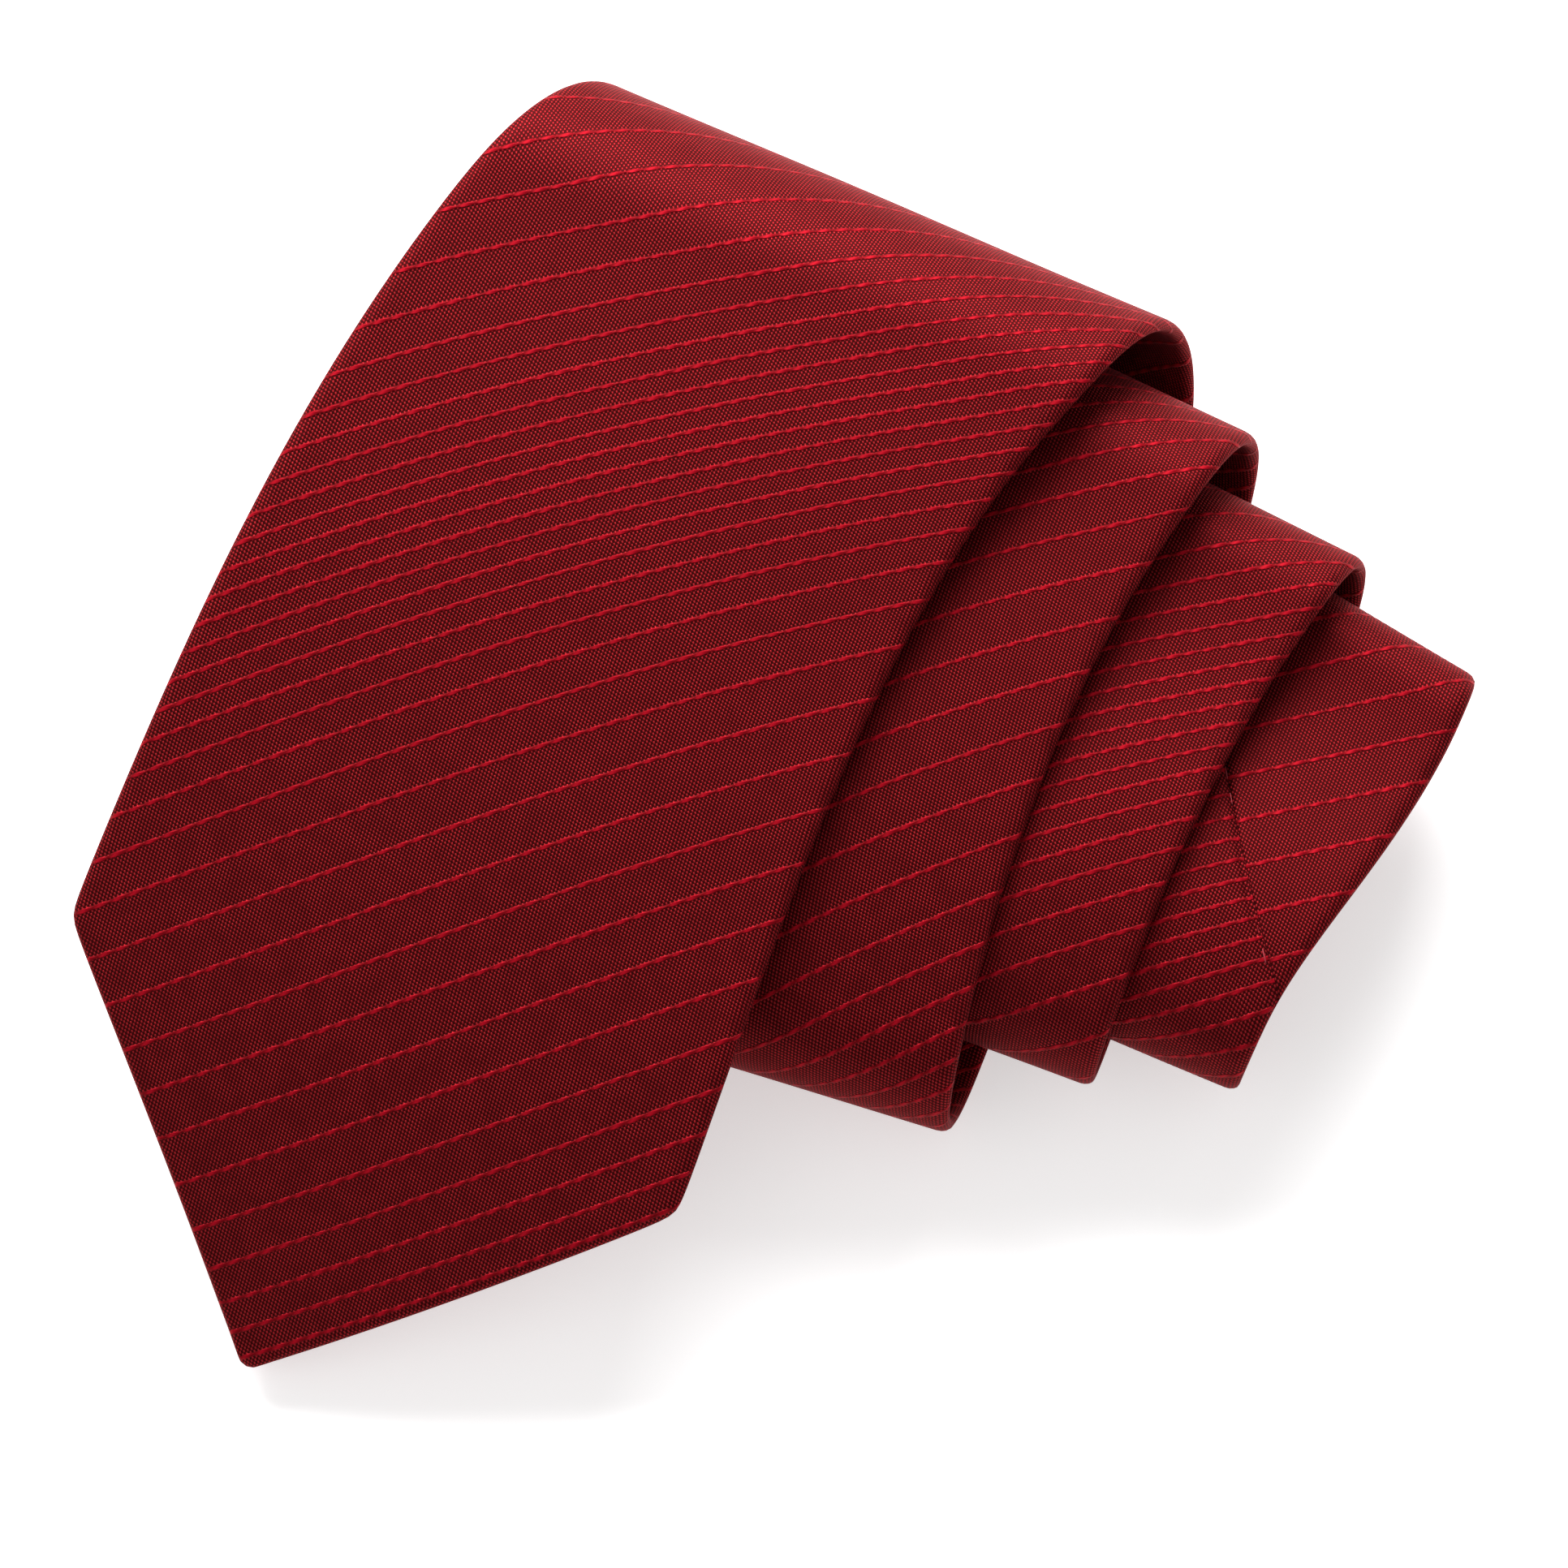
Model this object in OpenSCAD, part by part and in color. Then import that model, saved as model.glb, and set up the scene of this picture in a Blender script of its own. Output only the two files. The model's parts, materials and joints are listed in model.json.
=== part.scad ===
// A necktie wound loosely from its narrow end and laid on a table, its turns fanned out to the right.
// X runs along the roll, Y from the blade's point towards the crest of the roll, Z up.
// A place on the tie is (s, t, n): s along it from the blade's point, t across, n outwards.

/* [Tie] */
// Length from point to point
tie_len = 1450; // [1300:10:1450]
// Widest part of the blade
blade_w = 80; // [70:1:84]
// Narrowest part, round the neck
neck_w = 36; // [30:1:36]
// How much the tie narrows for each millimetre of length
taper = 0.062; // [0.055:0.001:0.07]
// Thickness through all the layers
tie_t = 1.9; // [1.7:0.1:1.9]
// Thickness of the outer cloth
cloth_t = 0.4; // [0.3:0.05:0.4]
// Where the join of blade and neck crosses the centre line
join_1 = 698; // [690:1:705]
// Where the join of neck and tail crosses the centre line
join_2 = 1068; // [1040:1:1090]

/* [Back of the tie] */
// Depth of the hem along the edges of each point
hem = 9; // [7:1:12]
// Distance from the blade's point to its bar tack
blade_tack = 92; // [80:1:100]
// Distance from the tail's point to its bar tack
tail_tack = 42; // [36:1:50]
// Distance from the blade's point to the middle of the keeper loop
keeper_s = 228; // [220:1:236]
// Width of the keeper loop along the tie
keeper_w = 9; // [6:1:12]
// Length of the keeper loop across the tie
keeper_len = 46; // [36:1:50]

/* [Flap] */
// Distance from the blade's point to the line that the free blade lifts about
hinge_s = 112; // [106:1:118]

/* [Hidden] */

// Folds of the roll, from the blade inwards: middle of the fold [x, y], turn of its axis about Z,
// sideways lean of the tie across it, levels of the lower and upper cloth, slope of the upper one.
// A crest is at the back of the roll and a bend is at the front, nearest the blade's point.
crests = [
    [[7, 142.5], 3, 16.5, 0.95, 36, 2.5],
    [[28, 140], 1, 9.5, 3.4, 30.7, 2.5],
    [[51.5, 137], 0, 9, 5.6, 25.4, 2.5],
    [[71, 136], -5, -22, 7.8, 20.1, 2.5],
    [[60, 133], -3, -20, 10, 18, 0]
];
bends = [
    [[27.5, 69.5], 10, -2, 0.95, 22, 22],
    [[47, 83.5], 7, 2.5, 3.4, 22.8, 22],
    [[68, 91], 4, 4, 5.6, 22, 22],
    [[64, 97.5], 0, -12, 7.8, 18.6, 0],
    [[38, 102], -6, -30, 10, 14, 0]
];
// The rest lies under the blade as a flat bundle, whose turns grow outwards by one pitch each.
bundle_x = -10;
bundle_crest_y = 136.5;
bundle_bend_y = 70;
bundle_turns = 4;
pitch = 2.05;
core = [10, 15];

// Middle of the roll's outline on the table, which becomes the origin.
origin = [25.77, 82.59, 0];

tip = [0, 2, 2.6];
tip_slope = 30;
tip_lean = 2;

arc_step = 18;
panel_steps = 5;
blade_steps = 14;
half_t = tie_t / 2;
slit = 0.3;
gap = 0.2;

shell_red = [0.55, 0.07, 0.11];
lining_red = [0.45, 0.05, 0.09];
thread_red = [0.65, 0.1, 0.14];
wool = [0.9, 0.88, 0.82];
label_black = [0.12, 0.1, 0.1];

// ---- centre line ----

function unit(v) = v / norm(v);
function axis(yaw) = [cos(yaw), sin(yaw), 0];
function smooth(u) = u * u * (3 - 2 * u);
function last(list) = list[len(list) - 1];

// One ring of the path is [point, cross direction, travel direction].
function arc_ring(side, f, angle) =
    let (r = (f[4] - f[3]) / 2, a = axis(f[1]), out = side * [-a.y, a.x, 0])
    let (c = [f[0].x, f[0].y, (f[4] + f[3]) / 2], lean = tan(f[2]))
    let (along = -side * r * angle * PI / 180)
    [
        c + r * (cos(angle) * out + [0, 0, sin(angle)]) + along * lean * a,
        a,
        unit(side * (sin(angle) * out - [0, 0, cos(angle)]) + lean * a)
    ];

function arc(side, f) =
    let (from = side > 0 ? 90 + f[5] : -90, to = side > 0 ? -90 : 90 - f[5])
    let (steps = ceil(abs(to - from) / arc_step))
    [for (i = [0 : steps]) arc_ring(side, f, from + (to - from) * i / steps)];

// Rings strictly between two rings, on a cubic that leaves and arrives along their directions.
function panel(p, q, steps) =
    let (reach = norm(q[0] - p[0]))
    [
        for (i = [1 : steps - 1])
            let (u = i / steps, v = 1 - u)
            [
                v * v * (1 + 2 * u) * p[0] + u * v * v * reach * p[2]
                    + u * u * (3 - 2 * u) * q[0] - u * u * v * reach * q[2],
                unit((1 - smooth(u)) * p[1] + smooth(u) * q[1]),
                [0, 0, 0]
            ]
    ];

function bundle_fold(side, turn) = [
    [bundle_x + (side > 0 && turn == 0 ? 2 : 0), side > 0 ? bundle_crest_y : bundle_bend_y],
    4,
    side > 0 && turn == 0 ? -6 : 0,
    core[0] - pitch * turn,
    core[1] + pitch * (side > 0 ? turn : turn + 1),
    0
];

folds = concat(
    [for (i = [0 : len(crests) - 1], side = [1, -1]) [side, side > 0 ? crests[i] : bends[i]]],
    [for (i = [0 : bundle_turns - 1], side = [1, -1]) [side, bundle_fold(side, i)]]
);
arcs = [for (f = folds) arc(f[0], f[1])];
tip_ring = [
    tip,
    [1, 0, 0],
    [sin(tip_lean) * cos(tip_slope), cos(tip_lean) * cos(tip_slope), sin(tip_slope)]
];
path = [
    each [tip_ring],
    each panel(tip_ring, arcs[0][0], blade_steps),
    for (i = [0 : len(arcs) - 1])
        each concat(i == 0 ? [] : panel(last(arcs[i - 1]), arcs[i][0], panel_steps), arcs[i])
];
steps_s = [for (i = 0, s = 0; i < len(path);
    s = s + (i + 1 < len(path) ? norm(path[i + 1][0] - path[i][0]) : 0), i = i + 1) s];

// Tables of each coordinate against s.
point_at = [for (k = [0 : 2]) [for (i = [0 : len(path) - 1]) [steps_s[i], path[i][0][k]]]];
cross_at = [for (k = [0 : 2]) [for (i = [0 : len(path) - 1]) [steps_s[i], path[i][1][k]]]];
function at(tables, s) = [for (table = tables) lookup(s, table)];

probe = 1.5;
function travel(s) = unit(at(point_at, s + probe) - at(point_at, max(0, s - probe)));

// Everything about the tie at s: [point, cross direction, outward direction, stretch across].
function frame(s) =
    let (w = unit(at(cross_at, s)), d = travel(s))
    [at(point_at, s) - origin, w, unit(cross(w, d)), 1 / sqrt(max(0.3, 1 - pow(w * d, 2)))];
function place(f, t, n) = f[0] + f[1] * (t * f[3]) + f[2] * n;

// ---- widths ----

function body_width(s) = max(neck_w, blade_w - taper * (s - blade_w / 2));
function half_width(s) = min(s, tie_len - s, min(blade_w, body_width(s)) / 2);
// Half the opening between the back edges: wide in each point, a slit elsewhere.
function opening(s) =
    max(slit, min(half_width(s) - hem, max(blade_tack - s, s - tie_len + tail_tack) * 0.6));

// ---- solids along the tie ----

// Places where an outline has a corner, in order, which always get a station of their own.
marks = [
    hem + slit, blade_w / 2, blade_tack,
    tie_len - tail_tack, tie_len - tail_tack + 15, tie_len - neck_w / 2, tie_len - hem - slit
];
least_step = 1.2;
function clear_of(s, places) = min([for (place = places) abs(s - place)]) > least_step;
all_stations = [
    for (i = [0 : len(steps_s) - 2])
        each concat(
            clear_of(steps_s[i], marks) ? [steps_s[i]] : [],
            [for (mark = marks) if (mark > steps_s[i] && mark <= steps_s[i + 1]) mark]
        )
];
function stations(s0, s1) =
    concat([s0], [for (s = all_stations) if (s > s0 && s < s1 && clear_of(s, [s0, s1])) s], [s1]);

// A closed skin through one section per station, in order of s. A section is a list of [t, n] that
// goes along one side of the cloth and back along the other, so its ends are closed by quads. The
// quads between two sections are split along the same diagonal on both sides of the cloth.
module skin(rings) {
    m = len(rings[0]);
    count = len(rings);
    points = [for (ring = rings) each ring];
    sides = [
        for (i = [0 : count - 2], j = [0 : m - 1])
            let (a = i * m + j, b = i * m + (j + 1) % m)
            each j > 0 && j < m / 2 ? [[a, a + m, b], [b, a + m, b + m]] : [[a, b + m, b], [a, a + m, b + m]]
    ];
    cap = [for (k = [1 : m / 2 - 1]) [k, k + 1, m - k, (m + 1 - k) % m]];
    end = (count - 1) * m;
    last_cap = [for (quad = cap) [for (k = [3 : -1 : 0]) end + quad[k]]];
    polyhedron(points, concat(cap, sides, last_cap));
}
function ring(s, section) =
    let (f = frame(s))
    [for (p = section) place(f, p.x, p.y)];

function shell_section(h, g) =
    let (m = min(1, h * 0.3), e = cloth_t, inner = min(0.7, h * 0.22))
    let (flap = min(g, h - m - 0.05))
    [
        [flap, -half_t], [flap, e - half_t], [h - m, e - half_t], [h - inner, 0], [h - m, half_t - e],
        [m - h, half_t - e], [inner - h, 0], [m - h, e - half_t], [-flap, e - half_t], [-flap, -half_t],
        [m - h, -half_t], [-h, 0], [m - h, half_t], [h - m, half_t], [h, 0], [h - m, -half_t]
    ];
module shell(s0, s1) {
    skin([for (s = stations(s0, s1)) ring(s, shell_section(half_width(s), opening(s)))]);
}

// A flat strip from t0 to t1, which are functions of s, and from n0 to n1.
module strip(s0, s1, t0, t1, n0, n1) {
    skin([
        for (s = stations(s0, s1))
            ring(s, [[t1(s), n1], [t1(s), n0], [t0(s), n0], [t0(s), n1]])
    ]);
}
inside_n = half_t - cloth_t;
wool_n = [-inside_n + 0.35, inside_n - 0.1];
tipping_n = [-inside_n + 0.05, -inside_n + 0.2];

module wool_strip(s0, s1) {
    reach = function (s) max(0.4, half_width(s) - 1.3);
    strip(s0, s1, function (s) -reach(s), reach, wool_n[0], wool_n[1]);
}
module tipping(s0, s1) {
    reach = function (s) max(0.4, min(half_width(s) - 1.5, opening(s) + 4));
    strip(s0, s1, function (s) -reach(s), reach, tipping_n[0], tipping_n[1]);
}
// A flat patch lying on the back of the tie.
module patch(s, length, width, lift, thick) {
    strip(
        s - width / 2, s + width / 2, function (s) -length / 2, function (s) length / 2,
        -half_t - lift - thick, -half_t - lift
    );
}
module thread(s0, s1) {
    skin([
        for (s = stations(s0, s1))
            ring(s, [
                [-0.2, -half_t + 0.05], [-0.1, -half_t + 0.33], [0.1, -half_t + 0.33], [0.2, -half_t + 0.05]
            ])
    ]);
}

// ---- nodes ----

module blade_flap() {
    color(shell_red) shell(1, hinge_s - gap);
}
module blade_shell() {
    color(shell_red) shell(hinge_s + gap, join_1 - gap);
}
module neck_shell() {
    color(shell_red) shell(join_1 + gap, join_2 - gap);
}
module tail_shell() {
    color(shell_red) shell(join_2 + gap, tie_len - 1);
}
module flap_interlining() {
    color(wool) wool_strip(4, hinge_s - gap);
}
module interlining() {
    color(wool) wool_strip(hinge_s + gap, tie_len - 4);
}
module blade_tipping() {
    color(lining_red) tipping(4, blade_tack);
}
module tail_tipping() {
    color(lining_red) tipping(tie_len - tail_tack, tie_len - 4);
}
module flap_slip_stitch() {
    color(thread_red) thread(blade_tack + 1, hinge_s - gap);
}
module slip_stitch() {
    color(thread_red) thread(hinge_s + gap, tie_len - tail_tack - 1);
}
module bar_tack(s) {
    color(thread_red) patch(s, 6, 1.2, 0.02, 0.08);
}
module blade_bar_tack() {
    bar_tack(blade_tack);
}
module tail_bar_tack() {
    bar_tack(tie_len - tail_tack);
}
// Thread catching the tipping to the hem, along both edges of a point that is width wide.
module hem_stitch(end, direction, width) {
    inset = hem + 0.5;
    first = hem + 3;
    step = (width / 2 - 1 - first) / 6;
    color(thread_red)
        for (side = [-1, 1])
            skin([
                for (k = direction > 0 ? [0 : 6] : [6 : -1 : 0])
                    let (s = first + k * step, t = side * (s - inset))
                    ring(end + direction * s, [
                        [t - 0.15, -inside_n - 0.05], [t + 0.15, -inside_n - 0.05],
                        [t + 0.15, -inside_n - 0.3], [t - 0.15, -inside_n - 0.3]
                    ])
            ]);
}
module blade_hem_stitch() {
    hem_stitch(0, 1, blade_w);
}
module tail_hem_stitch() {
    hem_stitch(tie_len, -1, neck_w);
}
module keeper_loop() {
    color(shell_red) patch(keeper_s, keeper_len, keeper_w, 0.05, 0.25);
}
module keeper_stitches() {
    from_middle = keeper_len / 2 - 2;
    color(thread_red)
        for (side = [-1, 1])
            strip(
                keeper_s - keeper_w / 2 + 1, keeper_s + keeper_w / 2 - 1,
                function (s) side * from_middle - 0.2, function (s) side * from_middle + 0.2,
                -half_t - 0.42, -half_t - 0.3
            );
}
module maker_label() {
    color(label_black) patch(keeper_s + 24, 42, 18, 0.04, 0.16);
}
module label_stitches() {
    color(thread_red)
        for (side = [-1, 1])
            strip(
                keeper_s + 16.5, keeper_s + 31.5,
                function (s) side * 19.5 - 0.15, function (s) side * 19.5 + 0.15,
                -half_t - 0.3, -half_t - 0.2
            );
}
module care_label() {
    color(wool) patch(keeper_s - 14, 20, 14, 0.04, 0.12);
}
// The thread of a join, lying in the narrow gap between two lengths of outer cloth.
module join_thread(s) {
    color(thread_red)
        strip(
            s - gap / 2, s + gap / 2, function (s) 1 - half_width(s), function (s) half_width(s) - 1,
            half_t - 0.35, half_t - 0.05
        );
}
module blade_neck_seam() {
    join_thread(join_1);
}
module neck_tail_seam() {
    join_thread(join_2);
}

blade_flap();
blade_shell();
neck_shell();
tail_shell();
flap_interlining();
interlining();
blade_tipping();
tail_tipping();
blade_hem_stitch();
tail_hem_stitch();
flap_slip_stitch();
slip_stitch();
blade_bar_tack();
tail_bar_tack();
keeper_loop();
keeper_stitches();
maker_label();
label_stitches();
care_label();
blade_neck_seam();
neck_tail_seam();
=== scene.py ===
"""A striped necktie wound in a loose roll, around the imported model: cloth, wool, stitches and labels.

The tie is a strip that follows the same path as the model's. A place on it is (s, t, n): s along it from
the blade's point, t across, n outwards, in millimetres. Its cloth also has c, which runs across the cut
cloth, round the edges and over the back. Stripes and weave are drawn on the unrolled cloth, so they turn
over the edges with it.
"""

import json
import math

import bpy
import numpy as np
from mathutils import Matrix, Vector


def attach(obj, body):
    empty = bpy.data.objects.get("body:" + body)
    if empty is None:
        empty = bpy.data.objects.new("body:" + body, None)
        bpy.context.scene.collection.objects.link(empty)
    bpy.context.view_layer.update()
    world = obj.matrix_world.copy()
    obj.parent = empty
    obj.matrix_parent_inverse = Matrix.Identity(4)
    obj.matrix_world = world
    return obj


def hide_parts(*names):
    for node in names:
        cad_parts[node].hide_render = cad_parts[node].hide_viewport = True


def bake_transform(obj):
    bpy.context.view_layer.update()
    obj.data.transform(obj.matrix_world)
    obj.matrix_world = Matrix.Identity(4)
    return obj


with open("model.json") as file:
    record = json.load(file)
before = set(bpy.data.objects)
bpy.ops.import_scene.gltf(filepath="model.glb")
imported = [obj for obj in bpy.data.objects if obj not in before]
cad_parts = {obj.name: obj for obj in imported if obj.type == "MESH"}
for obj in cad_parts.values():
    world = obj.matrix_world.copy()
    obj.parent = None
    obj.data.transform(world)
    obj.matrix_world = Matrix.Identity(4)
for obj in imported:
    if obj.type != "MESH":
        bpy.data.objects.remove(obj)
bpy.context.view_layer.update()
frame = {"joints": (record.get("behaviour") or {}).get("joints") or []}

MM = 0.001
scene = bpy.context.scene

# ---- camera, in front and above, a little to the right ----
CAMERA_YAW, CAMERA_RISE, CAMERA_FAR, CAMERA_LENS = 27.3, 74.0, 0.9, 171.2
yaw, rise = math.radians(CAMERA_YAW), math.radians(CAMERA_RISE)
target = Vector((-0.0026, 0.0130, 0))
away = Vector((math.cos(rise) * math.sin(yaw), -math.cos(rise) * math.cos(yaw), math.sin(rise)))
camera_data = bpy.data.cameras.new("camera")
camera_data.lens = CAMERA_LENS
camera_data.sensor_width = 36
camera = bpy.data.objects.new("camera", camera_data)
camera.location = target + away * CAMERA_FAR
camera.rotation_mode = "QUATERNION"
camera.rotation_quaternion = (-away).to_track_quat("-Z", "Y")
scene.collection.objects.link(camera)
scene.camera = camera

# ---- the tie's own sizes, in millimetres ----
TIE_LEN = 1450
BLADE_W = 80
NECK_W = 36
TAPER = 0.062  # width lost in each millimetre of length
HALF_T = 0.95
CLOTH_T = 0.4
JOIN_1 = 698  # blade to neck
JOIN_2 = 1068  # neck to tail
CREASE, CREASE_REACH = 0.42, 0.55  # depth and softness of the dip in the cloth at a join
SHEAR_OVER = 130  # the rows of the cloth turn to the slant of a join over this length
FINE_STEP = 0.3  # spacing of the rows at the points and joins
HEM = 9
SLIT = 0.12  # half the slit on the back
BLADE_TACK = 92  # the openings in the points end here, measured from each point
TAIL_TACK = 42
KEEPER_S = 228  # middle of the keeper loop
SPLIT_S = 203  # where the cloth of the free blade ends, down behind the first fold
TIP_R = 1.6
TIP_S = 0.67  # the cloth starts this far from the sharp outline's point
CORNER = 1.2  # softness of the corners of the points
ROLL = 1.5  # width of the rolled edge
INSIDE_N = HALF_T - CLOTH_T

# ---- the path of the roll ----
# Each fold: its middle (x, y), turn of its axis, sideways lean, lower and upper level, slope of the cloth
# above. Crests are at the back and bends at the front. The rest of the tie is wound evenly in a bundle.
CRESTS = [
    ((7, 142.5), 3, 16.5, 0.95, 36, 2.5),
    ((28, 140), 1, 9.5, 3.4, 30.7, 2.5),
    ((51.5, 137), 0, 9, 5.6, 25.4, 2.5),
    ((73, 136), -5, -8, 7.8, 20.1, 2.5),
    ((60, 133), -3, -20, 10, 18, 0),
]
BENDS = [
    ((27.5, 69.5), 10, -2, 0.95, 22, 22),
    ((47, 83.5), 7, 2.5, 3.4, 22.8, 22),
    ((68, 91), 4, 4, 5.6, 22, 22),
    ((64, 97.5), 0, -12, 7.8, 18.6, 0),
    ((38, 102), -6, -30, 10, 14, 0),
]
BUNDLE_X, BUNDLE_CREST_Y, BUNDLE_BEND_Y, BUNDLE_TURNS = -10, 136.5, 70, 4
PITCH = 2.05
CORE = (10, 15)
ORIGIN = np.array([25.77, 82.59, 0])
TIP = np.array([0, 2, 2.6])
TIP_SLOPE, TIP_LEAN = 30, 2
ARC_STEP, PANEL_STEP = 3.0, 1.5
GRID = 0.5  # spacing of the tables along the path
SOFTEN = 0.8  # how far the path is evened out
SOFTEN_LEAN = 4  # and its lean, which sets the width of the slanting stretches
GRAIN = 45  # the grain of the cloth follows the direction of the path evened out over this length

# Columns of the table along the path.
MIDDLE, CROSS, NORMAL, STRETCH, LEAN, UNROLLED = range(3), range(3, 6), range(6, 9), [9], [10], range(11, 15)


def unit(v):
    """v at length 1."""
    return v / np.linalg.norm(v, axis=-1, keepdims=True)


def smooth(u):
    """0 to 1, level at both ends."""
    u = np.clip(u, 0, 1)
    return u * u * (3 - 2 * u)


def arc(side, fold):
    """Points, cross directions and travel directions round one fold. side is 1 at a crest, -1 at a bend."""
    (x, y), yaw, lean, low, high, slope = fold
    start, end = (90 + slope, -90) if side > 0 else (-90, 90 - slope)
    a = np.radians(np.linspace(start, end, math.ceil(abs(end - start) / ARC_STEP) + 1))[:, None]
    r, turn, tilt = (high - low) / 2, math.radians(yaw), math.tan(math.radians(lean))
    axis = np.array([math.cos(turn), math.sin(turn), 0])
    out = side * np.array([-axis[1], axis[0], 0])
    up = np.array([0, 0, 1])
    middle = np.array([x, y, (low + high) / 2])
    points = middle + r * (np.cos(a) * out + np.sin(a) * up) - side * r * a * tilt * axis
    travel = unit(side * (np.sin(a) * out - np.cos(a) * up) + tilt * axis)
    return points, np.repeat(axis[None], len(a), 0), travel


def panel(p, q):
    """The cloth between two folds: a cubic that leaves and arrives along their directions."""
    (p0, w0, d0), (p1, w1, d1) = [x[-1] for x in p], [x[0] for x in q]
    reach = np.linalg.norm(p1 - p0)
    u = np.linspace(0, 1, math.ceil(reach / PANEL_STEP) + 1)[1:-1, None]
    v = 1 - u
    start = v * v * (1 + 2 * u) * p0 + u * v * v * reach * d0
    end = u * u * (3 - 2 * u) * p1 - u * u * v * reach * d1
    return start + end, unit((1 - smooth(u)) * w0 + smooth(u) * w1)


def bundle_fold(side, turn):
    """One fold of the bundle, which is wound inwards turn by turn."""
    first = side > 0 and turn == 0
    y = BUNDLE_CREST_Y if side > 0 else BUNDLE_BEND_Y
    high = CORE[1] + PITCH * (turn if side > 0 else turn + 1)
    return ((BUNDLE_X + (2 if first else 0), y), 4, -6 if first else 0, CORE[0] - PITCH * turn, high, 0)


def evened(table, width):
    """The columns of a table along the path, each evened out over about that width."""
    reach = math.ceil(3 * width / GRID)
    weights = np.exp(-0.5 * (np.arange(-reach, reach + 1) * GRID / width) ** 2)
    before = 2 * table[0] - table[reach:0:-1]
    after = 2 * table[-1] - table[-2:-reach - 2:-1]
    padded = np.vstack([before, table, after])
    return np.stack([np.convolve(column, weights / weights.sum(), "valid") for column in padded.T], 1)


def make_path():
    """An even grid of s, and the table of the columns named above.

    Unrolled flat, the cloth's middle runs along its grain and across it, and the cross direction turns."""
    folds = [f for crest, bend in zip(CRESTS, BENDS) for f in ((1, crest), (-1, bend))]
    folds += [(side, bundle_fold(side, turn)) for turn in range(BUNDLE_TURNS) for side in (1, -1)]
    slope, lean = math.radians(TIP_SLOPE), math.radians(TIP_LEAN)
    start = np.array([[math.sin(lean) * math.cos(slope), math.cos(lean) * math.cos(slope), math.sin(slope)]])
    stretches = [(TIP[None], np.array([[1.0, 0, 0]]), start)] + [arc(*f) for f in folds]
    points, cross = [stretches[0][0]], [stretches[0][1]]
    for before, after in zip(stretches[:-1], stretches[1:]):
        between = panel(before, after)
        points += [between[0], after[0]]
        cross += [between[1], after[1]]
    points, cross = np.vstack(points), np.vstack(cross)
    s = np.concatenate([[0], np.cumsum(np.linalg.norm(np.diff(points, axis=0), axis=1))])
    grid = np.arange(0, TIE_LEN + 20, GRID)
    table = [np.stack([np.interp(grid, s, a[:, k]) for k in range(3)], 1) for a in (points, cross)]
    points, cross = [evened(a, SOFTEN) for a in table]
    points, cross = points - ORIGIN, unit(cross)
    travel = unit(np.gradient(points, axis=0))
    lean = evened((cross * travel).sum(1, keepdims=True), SOFTEN_LEAN)
    stretch = 1 / np.sqrt(np.maximum(0.3, 1 - lean**2))
    normal = unit(np.cross(cross, travel))
    heading = np.cumsum((np.gradient(travel, axis=0) * np.cross(normal, travel)).sum(1))
    off = heading - evened(heading[:, None], GRAIN)[:, 0]
    across = off + np.arcsin(lean[:, 0])
    flat = [np.cumsum(np.cos(off)) * GRID, -np.cumsum(np.sin(off)) * GRID, np.sin(across), np.cos(across)]
    return grid, np.hstack([points, cross, normal, stretch, lean * stretch, np.stack(flat, 1)])


PATH_S, PATH = make_path()


def along(s, columns):
    """Those columns of the path at s."""
    return np.stack([np.interp(s, PATH_S, PATH[:, k]) for k in columns], -1)


def place(s, t, n):
    """The points at (s, t, n), in metres in the row frame."""
    s, t, n = np.broadcast_arrays(*[np.asarray(a, float) for a in (s, t, n)])
    middle, cross, normal, stretch = [along(s, columns) for columns in (MIDDLE, CROSS, NORMAL, STRETCH)]
    return (middle + unit(cross) * (t[..., None] * stretch) + unit(normal) * n[..., None]) * MM


def flattened(s, c):
    """Where (s, c) lies on the cloth once it is unrolled flat: along its grain, and across."""
    run_s, run_c, turn_s, turn_c = np.moveaxis(along(s, UNROLLED), -1, 0)
    reach = c * along(s, STRETCH)[..., 0]
    return run_s + reach * turn_s, run_c + reach * turn_c


def half_width(s):
    """Half the finished width, with the corners of both points rounded."""
    body = np.clip(BLADE_W - TAPER * (s - BLADE_W / 2), NECK_W, BLADE_W) / 2
    from_end = np.minimum(s, TIE_LEN - s)
    round_tip = np.sqrt(np.maximum(TIP_R**2 - (TIP_R * math.sqrt(2) - from_end) ** 2, 1e-4))
    point = np.where(from_end < TIP_R / math.sqrt(2), round_tip, from_end)
    gap = body - point
    return (body + point - np.sqrt(gap**2 + CORNER**2)) / 2 + CORNER * 0.02


def opening(s):
    """Half the opening between the back edges: wide in each point, a slit elsewhere."""
    wide = np.minimum(half_width(s) - HEM, np.maximum(BLADE_TACK - s, s - TIE_LEN + TAIL_TACK) * 0.6)
    return np.maximum(SLIT, wide)


def half_thick(s):
    """Half the thickness, which runs out at the very tips."""
    from_tip = np.clip((np.minimum(s, TIE_LEN - s) - TIP_R * (math.sqrt(2) - 1)) / 1.6, 0.02, 1)
    return HALF_T * np.sqrt(1 - (1 - from_tip) ** 2)


def ripple(s, c):
    """The slight unevenness of soft cloth over wool, in millimetres."""
    return (
        0.10 * np.sin(s / 17.0 + c / 23.0 + 0.7)
        + 0.07 * np.sin(s / 9.3 - c / 14.0 + 2.1)
        + 0.04 * np.sin(s / 4.7 + c / 7.9 + 4.0)
    ) * smooth(np.minimum(s, TIE_LEN - s) / 12)


# ---- meshes ----


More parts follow.
